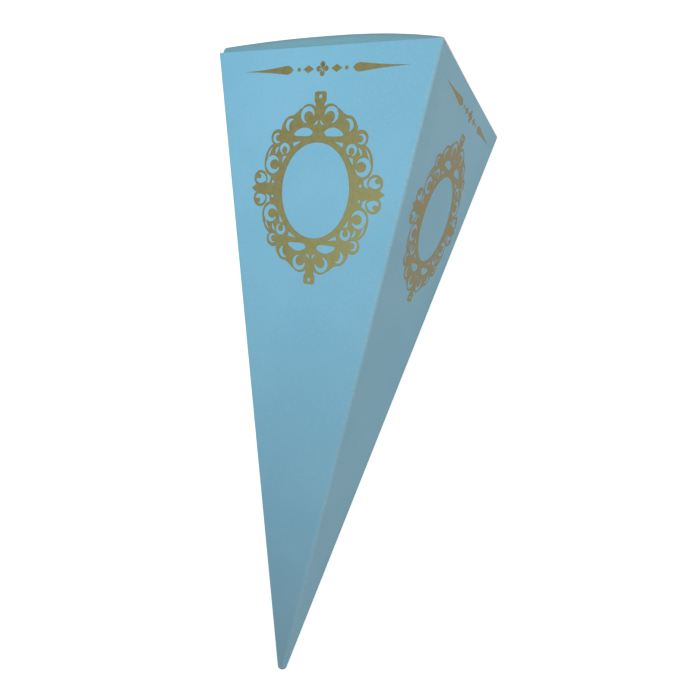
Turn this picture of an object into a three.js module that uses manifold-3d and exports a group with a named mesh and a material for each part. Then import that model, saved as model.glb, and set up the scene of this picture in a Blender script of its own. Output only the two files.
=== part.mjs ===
// A square cone bag folded from one sheet of card: four long panels taper to a blunt tip,
// and a lid on the back panel tucks in behind the front one.
// It is drawn standing on its tip, with the rim in the plane z = 0, the front panel facing -Y and
// the back panel facing +Y, and is then laid down on its back panel.
import * as THREE from "three";
import { ConvexGeometry } from "three/addons/geometries/ConvexGeometry.js";
import { mergeVertices } from "three/addons/utils/BufferGeometryUtils.js";
import Module from "manifold-3d";

const wasm = await Module();
wasm.setup();

// Driving dimensions, in millimetres
const rimSide = 65; // outer width of each panel at the rim
const panelLength = 193.6; // from the rim to where the panels' edges would meet in a point
const card = 0.5; // thickness of the sheet
const foldRadius = 1.2; // outer radius of the four long folds
const tipWidth = 2.8; // width of the blunt tip
const tipRound = 0.7; // height of the rounding that closes the tip
const tipSolid = 5; // length of the tip where the four points are pressed together
const clearance = 0.3; // between the lid and the sheet around it

const seamSetback = 1; // from the outer corner to the raw edge of the left panel
const glueFlapTop = 9; // width of the glue flap near the rim
const glueFlapFoot = 3; // width of the glue flap at its lower end
const glueFlapDrop = 3; // from the rim to the top of the glue flap
const glueFlapLength = 150; // measured down from the rim

const dustFlapDepth = 19; // from the side panel towards the middle
const dustFlapFront = 7; // setback of the root from the front panel
const dustFlapBack = 3.5; // setback of the root from the back panel
const dustFlapTaper = 4; // by which each end narrows towards the free edge
const dustFlapCorner = 3; // radius of its two free corners

const lidMargin = 1.3; // by which the lid is narrower than the rim at each side
const lidCorner = 1.6; // radius of its two free corners, seen from above
const lidFold = 1.1; // outer radius of the fold between lid and tuck flap
const lidEndLift = 1.25; // rise of that fold above the hinge at its two ends
const lidBow = 1.15; // further rise of that fold halfway across
const tuckDepth = 15; // how far the tuck flap reaches below the rim
const tuckShoulder = 1.4; // by which the tuck flap is narrower than the lid at each side
const tuckTaper = 1.6; // by which it narrows further down to its round corners
const tuckCorner = 6; // radius of the tuck flap's corners

// Numbers of facets
const foldSteps = 3;
const arcSteps = 5;
const bowSteps = 20;

// The taper
const rimHalf = rimSide / 2;
const height = Math.sqrt(panelLength ** 2 - rimHalf ** 2);
const lean = Math.asin(rimHalf / panelLength);
const across = 1 / Math.cos(lean); // a thickness, seen level through a leaning panel
const halfAt = (z) => rimHalf * (1 + z / height);
const levelWhere = (half) => height * (half / rimHalf - 1);
const tipLevel = levelWhere(tipWidth / 2);

function toManifold(geometry) {
  const bare = geometry.clone();
  bare.deleteAttribute("normal");
  bare.deleteAttribute("uv");
  const merged = mergeVertices(bare);
  const mesh = new wasm.Mesh({
    numProp: 3,
    vertProperties: new Float32Array(merged.attributes.position.array),
    triVerts: new Uint32Array(merged.index.array),
  });
  return new wasm.Manifold(mesh);
}

function toGeometry(solid) {
  const mesh = solid.getMesh();
  const geometry = new THREE.BufferGeometry();
  geometry.setAttribute("position", new THREE.BufferAttribute(mesh.vertProperties, 3));
  geometry.setIndex(new THREE.BufferAttribute(mesh.triVerts, 1));
  geometry.computeVertexNormals();
  return geometry;
}

// A level rounded square, as points at height z.
function ring(half, radius, z) {
  const r = Math.min(radius, half);
  const c = half - r;
  const quarter = Math.PI / 2;
  const outline = new THREE.Shape();
  outline.absarc(c, c, r, 0, quarter);
  outline.absarc(-c, c, r, quarter, 2 * quarter);
  outline.absarc(-c, -c, r, 2 * quarter, 3 * quarter);
  outline.absarc(c, -c, r, 3 * quarter, 4 * quarter);
  return outline.getPoints(foldSteps).map((p) => new THREE.Vector3(p.x, p.y, z));
}

// The cone's outside, down to its blunt, rounded tip.
function outerForm() {
  const rings = [ring(rimHalf, foldRadius, 0), ring(tipWidth / 2, foldRadius, tipLevel)];
  for (const share of [0.4, 0.75, 1]) {
    const inset = 1 - Math.sqrt(1 - share ** 2);
    rings.push(ring((tipWidth / 2) * (1 - 0.6 * inset), foldRadius, tipLevel - tipRound * share));
  }
  return toManifold(new ConvexGeometry(rings.flat()));
}

// The space inside, which runs out past the rim.
function innerForm() {
  const above = 5;
  const floor = tipLevel - tipRound + tipSolid;
  const inside = (z) => halfAt(z) - card * across;
  const radius = foldRadius - card;
  return toManifold(new ConvexGeometry([
    ...ring(inside(above), radius, above),
    ...ring(inside(floor), radius, floor),
  ]));
}

// The left panel's raw edge stops short of the back corner, and shows the glue flap's fold there.
function seamStep() {
  const out = 1;
  const corners = [];
  for (const z of [out, levelWhere(2 * seamSetback + card)]) {
    const half = halfAt(z);
    for (const x of [-half - out, -half + card * across]) {
      corners.push(new THREE.Vector3(x, half - seamSetback, z));
      corners.push(new THREE.Vector3(x, half + out, z));
    }
  }
  return toManifold(new ConvexGeometry(corners));
}

// The flap of the back panel that is glued inside the left panel, from the corner to its free edge.
function glueFlap() {
  const bite = card / 4; // sunk into the walls that it is one with
  const corners = [];
  const ends = [
    { z: -glueFlapDrop, width: glueFlapTop, slant: -glueFlapTop / 2 },
    { z: -glueFlapLength, width: glueFlapFoot, slant: glueFlapFoot },
  ];
  for (const end of ends) {
    for (const [width, z] of [[0, end.z], [end.width, end.z + end.slant]]) {
      const inside = halfAt(z) - card * across;
      const y = width === 0 ? inside + bite : inside - width;
      corners.push(new THREE.Vector3(-inside - bite, y, z));
      corners.push(new THREE.Vector3(-inside + card * across, y, z));
    }
  }
  return toManifold(new ConvexGeometry(corners));
}

// One of the two short flaps folded in level under the lid, side = 1 on the right and -1 on the left.
function dustFlap(side) {
  const root = rimHalf - card / 2;
  const free = rimHalf - dustFlapDepth;
  const front = -rimHalf + dustFlapFront;
  const back = rimHalf - dustFlapBack;
  const r = dustFlapCorner;
  const shape = new THREE.Shape();
  shape.moveTo(root, front);
  shape.lineTo(free + r, front + dustFlapTaper);
  shape.quadraticCurveTo(free, front + dustFlapTaper, free, front + dustFlapTaper + r);
  shape.lineTo(free, back - dustFlapTaper - r);
  shape.quadraticCurveTo(free, back - dustFlapTaper, free + r, back - dustFlapTaper);
  shape.lineTo(root, back);
  const flap = new THREE.ExtrudeGeometry(shape, { depth: card, bevelEnabled: false, curveSegments: arcSteps });
  flap.translate(0, 0, -card);
  const solid = toManifold(flap);
  return side > 0 ? solid : solid.mirror([1, 0, 0]);
}

// Rounds the folds along the side panels' rims: what lies outside this form is cut away.
function rimRounding() {
  const r = card;
  const deep = height + 1;
  const shape = new THREE.Shape();
  shape.moveTo(-rimHalf, -deep);
  shape.lineTo(rimHalf, -deep);
  shape.absarc(rimHalf - r, -r, r, 0, Math.PI / 2);
  shape.absarc(-rimHalf + r, -r, r, Math.PI / 2, Math.PI);
  shape.closePath();
  const length = rimSide + 2;
  const form = new THREE.ExtrudeGeometry(shape, { depth: length, bevelEnabled: false, curveSegments: arcSteps });
  form.rotateX(Math.PI / 2);
  form.translate(0, length / 2, 0);
  return toManifold(form);
}

// The hinge is the crease at the top of the back panel: a bead as round as the card is thick.
const hinge = { z: clearance, y: halfAt(clearance) - card * across };

// Room for the bead to turn, above the back panel and across both its corners.
function beadRoom() {
  const top = hinge.z + 2 * card;
  const floor = hinge.z - card - clearance;
  const depth = foldRadius + card;
  const room = new THREE.BoxGeometry(rimSide + 2, depth, top - floor);
  room.translate(0, halfAt(0) - depth / 2 + card / 2, (top + floor) / 2);
  return toManifold(room);
}

function coneBody() {
  return outerForm()
    .subtract(innerForm())
    .add(glueFlap())
    .subtract(seamStep())
    .add(dustFlap(1))
    .add(dustFlap(-1))
    .intersect(rimRounding())
    .subtract(beadRoom());
}

// The lid's section: hinge bead, lid panel, fold and tuck flap, drawn with y along and z up.
const lidTop = hinge.z + card;
const fold = { z: lidTop - lidFold };
fold.y = -(halfAt(fold.z) - (card + clearance) * across) + lidFold * across;

function lidSection() {
  const down = new THREE.Vector2(Math.sin(lean), -Math.cos(lean));
  const inward = new THREE.Vector2(Math.cos(lean), Math.sin(lean));
  const centre = new THREE.Vector2(fold.y, fold.z);
  const past = tuckDepth + lidFold + lidEndLift + lidBow; // long enough for the trimming form to cut
  const outerEnd = centre.clone().addScaledVector(inward, -lidFold).addScaledVector(down, past);
  const innerEnd = outerEnd.clone().addScaledVector(inward, card);
  const turned = Math.PI + lean;
  const shape = new THREE.Shape();
  shape.absarc(hinge.y, hinge.z, card, Math.PI, 2.5 * Math.PI);
  shape.absarc(fold.y, fold.z, lidFold, Math.PI / 2, turned);
  shape.lineTo(outerEnd.x, outerEnd.y);
  shape.lineTo(innerEnd.x, innerEnd.y);
  shape.absarc(fold.y, fold.z, lidFold - card, turned, Math.PI / 2, true);
  shape.closePath();
  return shape;
}

// The lid springs up in a low bow that grows from nothing at the hinge to its most at the fold.
function bow(geometry, halfWidth) {
  const place = geometry.attributes.position;
  for (let i = 0; i < place.count; i += 1) {
    const share = THREE.MathUtils.clamp((hinge.y - place.getY(i)) / (hinge.y - fold.y), 0, 1);
    const lift = lidEndLift + lidBow * (1 - (place.getX(i) / halfWidth) ** 2);
    place.setZ(i, place.getZ(i) + share * lift);
  }
}

// The lid's outline from above, with round free corners.
function lidPlan(halfWidth) {
  const front = -rimHalf;
  const back = rimHalf + card;
  const r = lidCorner;
  const shape = new THREE.Shape();
  shape.moveTo(halfWidth, back);
  shape.lineTo(-halfWidth, back);
  shape.absarc(-halfWidth + r, front + r, r, Math.PI, 1.5 * Math.PI);
  shape.absarc(halfWidth - r, front + r, r, 1.5 * Math.PI, 2 * Math.PI);
  shape.closePath();
  const depth = tuckDepth + rimHalf;
  const form = new THREE.ExtrudeGeometry(shape, { depth, bevelEnabled: false, curveSegments: arcSteps });
  form.translate(0, 0, -tuckDepth - card);
  return toManifold(form);
}

// The lid's outline from the front: the full width above the rim, the narrower tuck flap below it.
function lidFace(halfWidth) {
  const top = lidTop + lidEndLift + lidBow + card;
  const neck = halfWidth - tuckShoulder;
  const foot = neck - tuckTaper;
  const r = tuckCorner;
  const shape = new THREE.Shape();
  shape.moveTo(halfWidth, top);
  shape.lineTo(halfWidth, clearance / 2);
  shape.lineTo(neck, clearance / 2);
  shape.absarc(foot - r, -tuckDepth + r, r, 0, -Math.PI / 2, true);
  shape.absarc(-foot + r, -tuckDepth + r, r, -Math.PI / 2, -Math.PI, true);
  shape.lineTo(-neck, clearance / 2);
  shape.lineTo(-halfWidth, clearance / 2);
  shape.lineTo(-halfWidth, top);
  shape.closePath();
  const depth = rimSide + 4 * card;
  const form = new THREE.ExtrudeGeometry(shape, { depth, bevelEnabled: false, curveSegments: arcSteps });
  form.rotateX(Math.PI / 2);
  form.translate(0, depth / 2, 0);
  return toManifold(form);
}

// The bead hangs below the level where the face outline narrows, so it is kept by a strip of its own.
function hingeStrip(halfWidth) {
  const strip = new THREE.BoxGeometry(2 * halfWidth, 4 * card, 6 * card);
  strip.translate(0, hinge.y, hinge.z);
  return toManifold(strip);
}

function lidSolid() {
  const halfWidth = rimHalf - lidMargin;
  const sheet = new THREE.ExtrudeGeometry(lidSection(), {
    depth: 2 * halfWidth,
    steps: bowSteps,
    bevelEnabled: false,
    curveSegments: arcSteps,
  });
  const alongY = new THREE.Vector3(0, 1, 0);
  const alongZ = new THREE.Vector3(0, 0, 1);
  const alongX = new THREE.Vector3(1, 0, 0);
  sheet.applyMatrix4(new THREE.Matrix4().makeBasis(alongY, alongZ, alongX));
  sheet.translate(-halfWidth, 0, 0);
  bow(sheet, halfWidth);
  const outline = lidFace(halfWidth).add(hingeStrip(halfWidth));
  return toManifold(sheet).intersect(lidPlan(halfWidth)).intersect(outline);
}

const cardFront = new THREE.MeshStandardMaterial({ color: 0x84bfd8, roughness: 0.8, metalness: 0 });
const cardLid = new THREE.MeshStandardMaterial({ color: 0x7fb8cf, roughness: 0.8, metalness: 0 });

const body = new THREE.Mesh(toGeometry(coneBody()), cardFront);
body.name = "cone_body";
const lid = new THREE.Mesh(toGeometry(lidSolid()), cardLid);
lid.name = "lid";

// Laid down on the back panel, tip towards -Y, over the centre of its own footprint.
const upright = new THREE.Group();
upright.add(body, lid);
upright.rotation.x = lean - Math.PI / 2;
const bag = new THREE.Group();
bag.add(upright);
bag.updateMatrixWorld(true);
const box = new THREE.Box3().setFromObject(bag, true);
const centre = box.getCenter(new THREE.Vector3());
upright.position.set(-centre.x, -centre.y, -box.min.z);
bag.updateMatrixWorld(true);

export default bag;
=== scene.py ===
"""The looks of a square cone bag of pale blue card with a tuck-in lid and gold foil ornaments."""
import math

import bpy
import numpy as np
from mathutils import Euler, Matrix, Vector, geometry


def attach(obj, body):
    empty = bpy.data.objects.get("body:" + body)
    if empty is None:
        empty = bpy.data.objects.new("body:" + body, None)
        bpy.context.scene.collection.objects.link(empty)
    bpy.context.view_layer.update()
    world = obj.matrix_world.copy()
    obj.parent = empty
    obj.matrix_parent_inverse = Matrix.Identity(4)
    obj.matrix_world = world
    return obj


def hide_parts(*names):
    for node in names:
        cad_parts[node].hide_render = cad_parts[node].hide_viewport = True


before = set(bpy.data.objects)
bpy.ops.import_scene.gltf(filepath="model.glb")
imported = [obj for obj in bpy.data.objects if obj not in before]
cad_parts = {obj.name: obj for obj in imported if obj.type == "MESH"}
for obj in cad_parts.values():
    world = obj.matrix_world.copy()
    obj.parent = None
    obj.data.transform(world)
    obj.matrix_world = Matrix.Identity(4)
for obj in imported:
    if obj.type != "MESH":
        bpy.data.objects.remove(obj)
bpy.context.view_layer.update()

# Camera: it stands over the bag as it lies on its back panel, a little to the right of it, and sees
# the front and right panels and the fold of the lid.
camera = bpy.data.objects.new("camera", bpy.data.cameras.new("camera"))
camera.location = (0.07869, -0.00168, 0.17366)
camera.rotation_euler = Euler([math.radians(turn) for turn in (10.500, 23.391, 14.289)])
camera.data.sensor_width = 36
camera.data.lens = 28.45
camera.data.clip_start = 0.01
bpy.context.collection.objects.link(camera)
bpy.context.scene.camera = camera

# Cone body: one sheet of card, 0.5 mm thick, dyed pale blue outside and white inside. Its four
# panels are folded along rounded creases, glued along one seam and pressed together at the tip.
card = 0.0005
rim_side = 0.065
panel_length = 0.1936
rim_half = rim_side / 2
lean = math.asin(rim_half / panel_length)
cone_height = math.sqrt(panel_length ** 2 - rim_half ** 2)
right = Vector((1, 0, 0))
up = Vector((0, math.cos(lean), math.sin(lean)))
front = Vector((0, -math.sin(lean), math.cos(lean)))
rim_front = max(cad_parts["cone_body"].data.vertices, key=lambda vertex: vertex.co.z).co.copy()
rim_centre = Vector((0, rim_front.y, rim_front.z)) - front * rim_half
to_upright = np.array([right, -front, up])


class Value:
    """What a node gives, which sums and products can be written with."""

    def __init__(self, nodes, socket):
        self.nodes = nodes
        self.socket = socket

    def __add__(self, other):
        return self.nodes.math("ADD", self, other)

    def __mul__(self, other):
        return self.nodes.math("MULTIPLY", self, other)

    __radd__ = __add__
    __rmul__ = __mul__


class Nodes:
    """A node tree whose maths is written as sums and products."""

    def __init__(self, tree):
        self.tree = tree

    def plug(self, value, socket):
        if isinstance(value, Value):
            self.tree.links.new(value.socket, socket)
        else:
            socket.default_value = value

    def node(self, kind, settings=None, inputs=None, output=0):
        made = self.tree.nodes.new(kind)
        for key, value in (settings or {}).items():
            setattr(made, key, value)
        for key, value in (inputs or {}).items():
            self.plug(value, made.inputs[key])
        return Value(self, made.outputs[output])

    def math(self, operation, *values):
        return self.node("ShaderNodeMath", {"operation": operation}, dict(enumerate(values)))

    def seeing_ray(self):
        """One for a ray by which something is seen, straight, in a mirror or through glass."""
        straight, mirrored, through = (
            self.node("ShaderNodeLightPath", output=f"Is {kind} Ray")
            for kind in ("Camera", "Glossy", "Transmission")
        )
        return straight + mirrored + through


class Finish(Nodes):
    """A material."""

    def __init__(self, name):
        self.material = bpy.data.materials.new(name)
        self.material.use_nodes = True
        super().__init__(self.material.node_tree)
        self.shader = self.tree.nodes["Principled BSDF"]

    def attribute(self, name):
        return self.node("ShaderNodeAttribute", {"attribute_name": name}, output="Fac")

    def place(self):
        return self.node("ShaderNodeTexCoord", output="Object")

    def noise(self, scale, detail=2, roughness=0.5):
        inputs = {"Vector": self.place(), "Scale": scale, "Detail": detail, "Roughness": roughness}
        return self.node("ShaderNodeTexNoise", None, inputs)

    def ramp(self, value, low, high, start=0, end=1):
        inputs = {"Value": value, "From Min": low, "From Max": high, "To Min": start, "To Max": end}
        return self.node("ShaderNodeMapRange", {"interpolation_type": "SMOOTHSTEP"}, inputs)

    def mix(self, share, first, second):
        inputs = {"Factor": share, 6: first, 7: second}
        return self.node("ShaderNodeMix", {"data_type": "RGBA"}, inputs, output=2)

    def surface(self, **values):
        for key, value in values.items():
            self.plug(value, self.shader.inputs[key.replace("_", " ")])

    def bump(self, height, depth):
        inputs = {"Height": height, "Distance": depth, "Strength": 1.0}
        self.surface(Normal=self.node("ShaderNodeBump", None, inputs))


def colour(red, green, blue):
    """A colour given as on screen, from 0 to 255, as Blender's linear values."""
    return tuple(((c / 255 + 0.055) / 1.055) ** 2.4 for c in (red, green, blue)) + (1,)


def card_finish():
    """Matte blue card with a fibrous grain, white inside. Its creases are worn a little paler, and
    the lid's wide bend has painted shade, a greyer blue."""
    finish = Finish("pale_blue_card")
    printed = finish.attribute("printed")
    folded = finish.attribute("folded")
    cloud = finish.ramp(finish.noise(45, 3), 0.35, 0.65)
    blue = finish.mix(cloud, colour(130, 194, 220), colour(135, 198, 224))
    fibre = finish.ramp(finish.noise(2600, 4, 0.65), 0.3, 0.7)
    blue = finish.mix(fibre * 0.22, blue, colour(146, 204, 226))
    crack = finish.ramp(finish.noise(1500, 3, 0.7), 0.52, 0.62)
    blue = finish.mix(crack * folded * 0.4, blue, colour(196, 222, 232))
    # Painted shade: the lid's wide front bend is given a greyer, darker blue, as if out of the
    # lamp's light.
    bend_shade = finish.attribute("bend_shade")
    blue = finish.mix(bend_shade * 0.85, blue, colour(124, 171, 180))
    white = finish.mix(fibre, colour(226, 228, 224), colour(238, 238, 233))
    finish.surface(
        Base_Color=finish.mix(printed, white, blue),
        Roughness=finish.ramp(fibre, 0, 1, 0.62, 0.74),
        Specular_IOR_Level=0.35,
    )
    grain = finish.noise(2600, 4, 0.65) * 0.7 + finish.noise(700, 2) * 0.3
    finish.bump(grain + finish.noise(60, 1) * 3.0, 0.00002)
    return finish.material


card_material = card_finish()


def joined_copy(node_name, name):
    """A copy of a CAD node's form, whose loose triangles are merged into one skin."""
    bpy.ops.object.select_all(action="DESELECT")
    piece = bpy.data.objects.new(name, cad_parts[node_name].data.copy())
    bpy.context.collection.objects.link(piece)
    piece.select_set(True)
    bpy.context.view_layer.objects.active = piece
    bpy.ops.object.mode_set(mode="EDIT")
    bpy.ops.mesh.select_all(action="SELECT")
    bpy.ops.mesh.remove_doubles(threshold=0.000002)
    bpy.ops.mesh.dissolve_limited(angle_limit=math.radians(0.5))
    bpy.ops.object.mode_set(mode="OBJECT")
    return piece


def soften(piece, width=0.00007):
    """Rounds the raw edges of the card, which a blade has cut."""
    edge = piece.modifiers.new("edge", "BEVEL")
    edge.width = width
    edge.segments = 2
    edge.limit_method = "ANGLE"
    edge.angle_limit = math.radians(50)
    edge.use_clamp_overlap = True
    bpy.context.view_layer.objects.active = piece
    bpy.ops.object.modifier_apply(modifier=edge.name)
    bpy.ops.object.shade_smooth_by_angle(angle=math.radians(35))


def mark(piece, name, domain, values):
    layer = piece.data.attributes.new(name, "FLOAT", domain)
    layer.data.foreach_set("value", np.asarray(values, np.float32))


def upright(places):
    """Places as they are when the bag stands on its tip, with the rim's centre at zero."""
    return (np.array(places) - np.array(rim_centre)) @ to_upright.T


def upright_points(piece):
    return upright([vertex.co for vertex in piece.data.vertices])


def upright_faces(piece):
    """The centres and normals of the faces, in the same way."""
    normals = np.array([face.normal for face in piece.data.polygons])
    return upright([face.center for face in piece.data.polygons]), normals @ to_upright.T


def finish_card(piece, printed, folded, bend_shade):
    """Gives a piece the card's finish: which faces are blue, where it is folded, and where its bend
    has painted shade.
    """
    mark(piece, "printed", "FACE", printed)
    mark(piece, "folded", "POINT", folded)
    mark(piece, "bend_shade", "POINT", bend_shade)
    piece.data.materials.clear()
    piece.data.materials.append(card_material)


def half_width(height):
    """How far the panels' outside is from the middle line, at this height from the rim."""
    return rim_half * (1 + height / cone_height)


worn_reach = 0.0016
cone = joined_copy("cone_body", "cone_card")
soften(cone)
centres, normals = upright_faces(cone)
reach = np.abs(centres[:, :2]).max(axis=1)
at_side = np.abs(centres[:, 0]) > np.abs(centres[:, 1])
outward = np.where(
    at_side,
    normals[:, 0] * np.sign(centres[:, 0]),
    normals[:, 1] * np.sign(centres[:, 1]),
)
on_wall = (outward > 0.3) & (reach > half_width(centres[:, 2]) - 0.6 * card)
on_flap = (normals[:, 2] > 0.9) & (reach < rim_half - card) & (centres[:, 2] > -0.3 * card)
on_rim_fold = at_side & (normals[:, 2] > 0.2) & (centres[:, 2] > -1.6 * card)
points = upright_points(cone)
to_crease = half_width(points[:, 2]) - np.abs(points[:, :2]).min(axis=1)
worn = np.clip(1 - to_crease / worn_reach, 0, 1)
finish_card(cone, on_wall | on_flap | on_rim_fold, worn, np.zeros(len(points)))
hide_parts("cone_body")
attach(cone, "bag")

# Lid: the same card, hinged on the crease at the back panel's rim. It springs up in a low bow,
# turns over a rounded fold and goes down behind the front panel as a tuck flap.
lid_gap = 0.0003
lid_half_width = 0.0312
lid_end_lift = 0.00125
lid_bow = 0.00115
hinge_y = half_width(lid_gap) - card / math.cos(lean)
tight_fold = 0.0011
loose_fold = 0.0027
top_easing = 0.012
flap_easing = 0.006
spring = 0.0009
settled_on_right = 0.0011
widening_on_left = 1.02
# Where the painted shade on the lid's bend starts to fade, and where it ends.
bend_shade_start = 0.0005
bend_shade_end = 0.0055


def eased(distance, start, length):
    """A distance from the fold that begins at start, and from this length on is what it was."""
    return np.interp(distance, [0, length], [start, length]) + np.maximum(distance - length, 0)


def loosen_fold(piece):
    """Opens the tight fold at the lid's front into the wider, springy bend of real card."""
    top = lid_gap + card
    centre_z = top - tight_fold
    centre_y = (card + lid_gap + tight_fold) / math.cos(lean) - half_width(centre_z)
    turn = math.pi / 2 + lean
    moved_on = (loose_fold - tight_fold) * math.tan(turn / 2)

    # Where each point is on the flat lid: along the top, round the fold or down the tuck flap, and
    # how deep in the card.
    x, y, z = upright_points(piece).T
    lift = lid_end_lift + lid_bow * (1 - (x / lid_half_width) ** 2)
    z = z - np.clip((hinge_y - y) / (hinge_y - centre_y), 0, 1) * lift
    angle = np.arctan2(centre_y - y, z - centre_z)
    angle = np.where(angle < -math.pi / 2, angle + 2 * math.pi, angle)
    on_top = angle < 0
    on_flap = angle > turn
    depth = tight_fold - np.hypot(y - centre_y, z - centre_z)
    depth = np.where(on_top, top - z, depth)
    outward_part = (centre_y - y) * math.cos(lean) + (centre_z - z) * math.sin(lean)
    depth = np.where(on_flap, tight_fold - outward_part, depth)
    back = eased(y - centre_y, moved_on, top_easing)
    below = eased(
        (y - centre_y) * math.sin(lean) - (z - centre_z) * math.cos(lean), moved_on, flap_easing
    )

    # The same places on the wider bend, which springs up, less at its right end.
    radius = loose_fold - depth
    new_y = centre_y + moved_on - radius * np.sin(angle)
    new_z = top - loose_fold + radius * np.cos(angle)
    new_y = np.where(on_top, centre_y + back, new_y)
    new_z = np.where(on_top, z, new_z)
    radius = tight_fold - depth
    flap_y = centre_y - radius * math.cos(lean) + below * math.sin(lean)
    flap_z = centre_z - radius * math.sin(lean) - below * math.cos(lean)
    new_y = np.where(on_flap, flap_y, new_y)
    new_z = np.where(on_flap, flap_z, new_z)
    share = np.clip((hinge_y - new_y) / (hinge_y - centre_y - moved_on), 0, 1)
    settled = settled_on_right * np.clip(x / lid_half_width, 0, 1) ** 3
    new_z += share * (lift + spring - settled)
    x = np.where((new_z > 0) & (x < 0), x * widening_on_left, x)
    places = np.column_stack([x, new_y, new_z]) @ to_upright + np.array(rim_centre)
    piece.data.vertices.foreach_set("co", places.astype(np.float32).ravel())
    piece.data.update()


lid = joined_copy("lid", "lid_card")
loosen_fold(lid)
soften(lid)
centres, normals = upright_faces(lid)
middle_of_mouth = np.array([0, 0, -0.02])
faces_out = ((centres - middle_of_mouth) * normals).sum(axis=1) > 0
on_cut_edge = np.abs(normals[:, 0]) >= 0.7
points = upright_points(lid)
from_front = points[:, 1] + rim_half
# Painted shade: a band near the lid's front fold is greyed, fully at the front and fading out a few
# millimetres back.
bend_shade = np.clip(1 - (from_front - bend_shade_start) / (bend_shade_end - bend_shade_start), 0, 1)
finish_card(lid, faces_out & ~on_cut_edge, np.zeros(len(points)), bend_shade)
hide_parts("lid")
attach(lid, "lid")

# Crease: the web of card between the back panel and the lid, which the hinge bead turns in. It is a
# strip as thick as the card, hollowed along its top to fit the bead.
web_half_length = 0.0308
inset = 0.00002
bead_play = 0.00003
bpy.ops.object.select_all(action="DESELECT")
bpy.ops.mesh.primitive_grid_add(x_subdivisions=24, y_subdivisions=8, size=2)
web = bpy.context.object
web.name = "crease_web"
bpy.ops.object.mode_set(mode="EDIT")
bpy.ops.mesh.select_all(action="SELECT")
bpy.ops.mesh.extrude_region_move(TRANSFORM_OT_translate={"value": (0, 0, 1)})
bpy.ops.mesh.select_all(action="SELECT")
bpy.ops.mesh.normals_make_consistent(inside=False)
bpy.ops.object.mode_set(mode="OBJECT")
for vertex in web.data.vertices:
    x, y, z = vertex.co
    depth = inset + (card - bead_play) * (1 - y) / 2
    off_bead = rim_half - depth - hinge_y
    hollow = lid_gap - math.sqrt(card ** 2 - off_bead ** 2) - bead_play
    level = hollow if z > 0.5 else -card - inset
    outer = half_width(level)
    vertex.co = rim_centre + right * (x * web_half_length) - front * (outer - depth) + up * level
soften(web, bead_play)
centres, normals = upright_faces(web)
count = len(web.data.vertices)
finish_card(web, normals[:, 1] > -0.5, np.ones(count), np.zeros(count))
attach(web, "bag")

# Gold foil: ornaments stamped on each of the four panels, an open-work oval frame and a divider
# with two darts under the rim. The foil is far thinner than the card and lies on it.
foil_thickness = 0.00003
oval_centre_drop = 0.0352
divider_drop = 0.0053


def ribbon(line, widths):
    """The outline of a band that follows a line of points, all in millimetres."""
    line = np.asarray(line, float)
    widths = np.interp(np.linspace(0, 1, len(line)), np.linspace(0, 1, len(widths)), widths)
    along = np.gradient(line, axis=0)
    along /= np.linalg.norm(along, axis=1)[:, None]
    side = np.column_stack([-along[:, 1], along[:, 0]]) * widths[:, None] / 2
    return np.vstack([line + side, (line - side)[::-1]])


def curve(*knots, steps=8):
    """A smooth line through a few points."""
    knots = np.asarray(knots, float)
    padded = np.vstack([2 * knots[0] - knots[1], knots, 2 * knots[-1] - knots[-2]])
    line = []
    for before, start, end, after in zip(padded, padded[1:], padded[2:], padded[3:]):
        for t in np.arange(steps) / steps:
            bend = 2 * start + (end - before) * t
            bend = bend + (2 * before - 5 * start + 4 * end - after) * t ** 2
            line.append((bend + (3 * start - before - 3 * end + after) * t ** 3) / 2)
    return np.array(line + [knots[-1]])


def arc(centre, radii, angles, steps=24):
    """A line round a centre, which may wind in or out."""
    radius = np.linspace(*radii, steps)
    angle = np.radians(np.linspace(*angles, steps))
    return np.array(centre) + np.column_stack([np.cos(angle), np.sin(angle)]) * radius[:, None]


def disc(centre, radius, steps=20):
    angle = np.arange(steps) * 2 * math.pi / steps
    return np.array(centre) + radius * np.column_stack([np.cos(angle), np.sin(angle)])


def leaf(*knots):
    """A closed smooth outline through a few points."""
    return curve(*knots[-2:], *knots, knots[0], knots[1])[16:-9]


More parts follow.
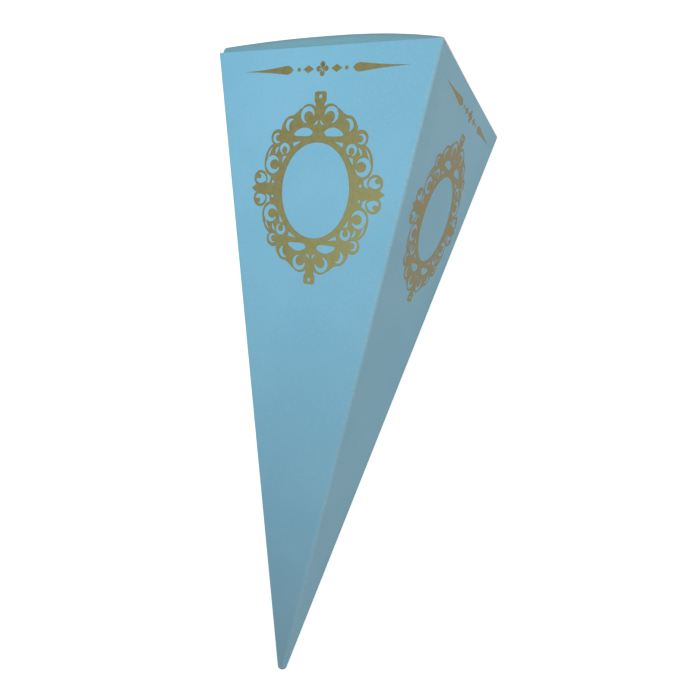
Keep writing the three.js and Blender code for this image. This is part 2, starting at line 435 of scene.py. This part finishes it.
def quarter_of_frame():
    """The oval frame's upper right quarter: what is stamped, its openings, and what they hold."""
    ring = [(12.3 * math.cos(a), 14.45 * math.sin(a)) for a in np.linspace(-0.02, 1.59, 30)]
    stamped = [
        ribbon(ring, [4.1, 4.2, 4.5]),
        np.array([
            (-0.1, 24.6), (1.2, 24.6), (1.75, 24.2), (1.75, 22.4), (1.3, 21.7), (1.2, 20.0),
            (1.9, 18.4), (3.0, 16.0), (-0.1, 15.6),
        ]),
        disc((3.15, 18.9), 2.75, 28),
        leaf(
            (3.0, 20.8), (5.4, 20.6), (6.4, 19.9), (7.7, 19.0), (9.4, 18.6), (10.7, 17.3),
            (11.2, 15.2), (8.0, 13.5), (3.5, 15.0),
        ),
        disc((9.6, 13.4), 1.7),
        disc((12.35, 13.3), 2.15, 24),
        leaf(
            (11.5, 12.6), (13.6, 11.9), (15.3, 10.4), (16.2, 8.2), (16.3, 5.9), (15.3, 4.0),
            (12.5, 3.0), (10.5, 6.0), (10.5, 10.0),
        ),
        disc((17.35, 2.65), 2.2, 28),
        np.array([
            (10.2, 4.8), (12.6, 3.6), (14.6, 1.7), (16.6, 0.9), (18.2, 0.75), (18.9, 0.95),
            (20.3, 0.0), (20.3, -0.05), (10.2, -0.05),
        ]),
    ]
    openings = [
        disc((0, 23.4), 0.5),
        ribbon(arc((3.3, 18.8), (1.8, 1.6), (-75, 175)), [0.2, 1.0, 1.25, 1.1, 0.3]),
        leaf(
            (1.75, 14.9), (3.2, 15.75), (5.0, 15.8), (6.8, 14.9), (7.3, 14.0), (5.6, 13.75),
            (3.3, 13.75), (2.2, 14.0),
        ),
        ribbon(curve((0.5, 17.7), (0.75, 17.0), (1.5, 16.5)), [0.1, 0.6, 0.1]),
        ribbon(arc((8.0, 16.3), (1.55, 1.55), (-55, 100)), [0.2, 1.1, 1.0, 0.2]),
        ribbon(arc((12.4, 13.2), (1.05, 1.05), (-130, 120)), [0.2, 0.8, 0.8, 0.2]),
        ribbon(arc((10.0, 10.4), (1.25, 1.1), (-75, 240)), [0.2, 0.8, 0.9, 0.9, 0.35]),
        np.array([(5.0, 12.45), (7.6, 12.15), (7.3, 11.1)]),
        np.array([(9.35, 8.7), (10.5, 8.55), (10.75, 6.7)]),
        ribbon(arc((13.35, 6.5), (1.9, 1.7), (-160, 150), 26), [0.2, 1.2, 1.35, 1.2, 0.3]),
        ribbon(curve((11.9, 11.1), (12.6, 10.2), (12.9, 9.1)), [0.2, 0.75, 0.2]),
        ribbon(curve((13.9, 10.9), (14.9, 9.4), (15.3, 7.6)), [0.15, 0.5, 0.15]),
        disc((13.3, 1.9), 0.4),
        leaf((15.6, 2.2), (16.2, 3.7), (17.5, 4.1), (18.7, 3.2), (18.7, 1.9), (17.2, 1.45)),
    ]
    held = [disc((17.9, 3.2), 0.62), ribbon(curve((17.9, 3.2), (18.6, 3.0), (19.2, 2.4)), [0.5])]
    return stamped, openings, held


def divider_half():
    """The divider's right half: a slender dart, a lozenge, a dot and half of the clover."""
    dart = np.array([
        (8.6, 0.0), (9.4, 0.75), (10.3, 1.1), (12.4, 0.85), (15.6, 0.5), (19.4, 0.22), (24.1, 0.0),
        (19.4, -0.22), (15.6, -0.5), (12.4, -0.85), (10.3, -1.1), (9.4, -0.75),
    ])
    lozenge = np.array([(2.5, 0), (4.1, 0.95), (5.7, 0), (4.1, -0.95)])
    clover = [disc((1.05, 0), 0.7), disc((0, 1.05), 0.7), disc((0, 0), 0.5)]
    return [dart, lozenge, *clover, disc((6.9, 0), 0.5)]


def mirrored(shapes, signs):
    turned = []
    for across, along in signs:
        for outline in shapes:
            loop = outline * (across, along)
            turned.append(loop if across * along > 0 else loop[::-1])
    return turned


def inside(points, loop):
    """Which points lie inside a loop, by how often it winds round them."""
    turns = np.zeros(len(points))
    for (x1, y1), (x2, y2) in zip(loop, np.roll(loop, -1, axis=0)):
        left = (x2 - x1) * (points[:, 1] - y1) - (points[:, 0] - x1) * (y2 - y1)
        turns += (y1 <= points[:, 1]) & (y2 > points[:, 1]) & (left > 0)
        turns -= (y1 > points[:, 1]) & (y2 <= points[:, 1]) & (left < 0)
    return turns != 0


def flat_form(stamped, openings, held):
    """The points and triangles of all that is stamped, run together."""
    loops = stamped + openings + held
    starts = np.cumsum([0] + [len(loop) for loop in loops])
    edges = [
        (k, k + 1 if k + 1 < end else start)
        for start, end in zip(starts, starts[1:])
        for k in range(start, end)
    ]
    points = [Vector(point) for loop in loops for point in loop]
    made = geometry.delaunay_2d_cdt(points, edges, [], 0, 0.0001, False)
    points = np.array(made[0])
    triangles = np.array(made[2])
    first, second, third = (points[triangles[:, k]] for k in range(3))
    area = np.cross(second - first, third - first) / 2
    triangles[area < 0] = triangles[area < 0][:, ::-1]
    middles = points[triangles].mean(axis=1)
    nowhere = np.zeros(len(middles), bool)
    on, off, on_again = (
        np.any([nowhere] + [inside(middles, loop) for loop in group], axis=0)
        for group in (stamped, openings, held)
    )
    return points, triangles[(on & ~off | on_again) & (np.abs(area) > 0.000001)].tolist()


def stamp(name, form, centre, across, down, out):
    """Foil of this form on a panel, as one thin sheet with a thickness."""
    points, kept = form
    places = [
        centre + across * (x / 1000) - down * (y / 1000) - out * foil_thickness / 2
        for x, y in points
    ]
    mesh = bpy.data.meshes.new(name)
    mesh.from_pydata(places, [], kept)
    foil = bpy.data.objects.new(name, mesh)
    bpy.context.collection.objects.link(foil)
    bpy.ops.object.select_all(action="DESELECT")
    foil.select_set(True)
    bpy.context.view_layer.objects.active = foil
    bpy.ops.object.mode_set(mode="EDIT")
    bpy.ops.mesh.select_all(action="SELECT")
    bpy.ops.mesh.delete_loose()
    bpy.ops.mesh.select_all(action="SELECT")
    bpy.ops.mesh.dissolve_limited(angle_limit=math.radians(1))
    bpy.ops.object.mode_set(mode="OBJECT")
    if sum(face.normal.dot(out) * face.area for face in foil.data.polygons) < 0:
        foil.data.flip_normals()
    body = foil.modifiers.new("thickness", "SOLIDIFY")
    body.thickness = 1.5 * foil_thickness
    body.offset = 1
    bpy.ops.object.modifier_apply(modifier=body.name)
    return foil


def foil_finish():
    """Stamped foil: satin gold, slightly mottled where the card's grain shows through."""
    finish = Finish("gold_foil")
    mottle = finish.ramp(finish.noise(900, 3, 0.6), 0.35, 0.65)
    finish.surface(
        Base_Color=finish.mix(mottle, colour(118, 107, 64), colour(128, 118, 75)),
        Metallic=0.7,
        Roughness=finish.ramp(mottle, 0, 1, 0.46, 0.54),
    )
    finish.bump(finish.noise(2600, 3, 0.6), 0.000006)
    return finish.material


foil_material = foil_finish()
quarters = [(1, 1), (-1, 1), (-1, -1), (1, -1)]
oval_form = flat_form(*(mirrored(shapes, quarters) for shapes in quarter_of_frame()))
divider_form = flat_form(mirrored(divider_half(), [(1, 1), (-1, -1)]), [], [])
panels = [
    ("front", front, 0.0012),
    ("right", right, 0.0004),
    ("back", -front, 0),
    ("left", -right, 0),
]
for side, outward_way, off_centre in panels:
    across = up.cross(outward_way)
    down = -up * math.cos(lean) - outward_way * math.sin(lean)
    out = outward_way * math.cos(lean) - up * math.sin(lean)
    rim_middle = rim_centre + outward_way * rim_half + across * off_centre
    for kind, form, drop in (
        ("frame", oval_form, oval_centre_drop),
        ("divider", divider_form, divider_drop),
    ):
        foil = stamp(f"foil_{kind}_{side}", form, rim_middle + down * drop, across, down, out)
        foil.data.materials.append(foil_material)
        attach(foil, "bag")

# Studio: a floor and a surround that look white. The floor keeps the bag's faint shadow, and the
# surround gives a soft warm light. A narrow cool lamp lights the rim end and a warm one the right.
floor_glow = 0.78
floor_finish = Finish("white_floor")
bpy.ops.mesh.primitive_plane_add(size=6, location=(0, 0, -0.0001))
floor = bpy.context.object
floor.name = "floor"
floor_finish.surface(
    Base_Color=(0.52, 0.66, 0.7, 1),
    Roughness=0.9,
    Emission_Color=(1, 1, 1, 1),
    Emission_Strength=floor_finish.seeing_ray() * floor_glow,
)
floor.data.materials.append(floor_finish.material)

world = bpy.data.worlds.new("surround")
bpy.context.scene.world = world
world.use_nodes = True
surround = Nodes(world.node_tree)
glow = surround.tree.nodes["Background"]
glow.inputs["Color"].default_value = (1, 0.74, 0.69, 1)
glow.inputs["Strength"].default_value = 0.43
lighting = Value(surround, glow.outputs["Background"])
backdrop = surround.node("ShaderNodeBackground", None, {"Color": (1, 1, 1, 1), "Strength": 1})
shaders = {0: surround.seeing_ray(), 1: lighting, 2: backdrop}
both = surround.node("ShaderNodeMixShader", None, shaders)
surround.plug(both, surround.tree.nodes["World Output"].inputs["Surface"])


def lamp(name, place, target, size, power, tint, spread=180):
    """A square soft box that points at a target, and whose light a grid may narrow."""
    light = bpy.data.lights.new(name, "AREA")
    light.size = size
    light.energy = power
    light.color = tint
    light.spread = math.radians(spread)
    box = bpy.data.objects.new(name, light)
    box.location = place
    box.rotation_euler = (Vector(target) - Vector(place)).to_track_quat("-Z", "Y").to_euler()
    bpy.context.collection.objects.link(box)


lamp("over_rim", (-0.05, -0.1, 0.35), (0, 0.12, 0.06), 0.1, 0.135, (0.54, 0.88, 1), 80)
lamp("fill_from_right", (0.5, 0.1, 0.25), (0, 0.02, 0.02), 0.3, 0.92, (1, 0.62, 0.5))

bpy.context.scene.view_settings.view_transform = "Standard"
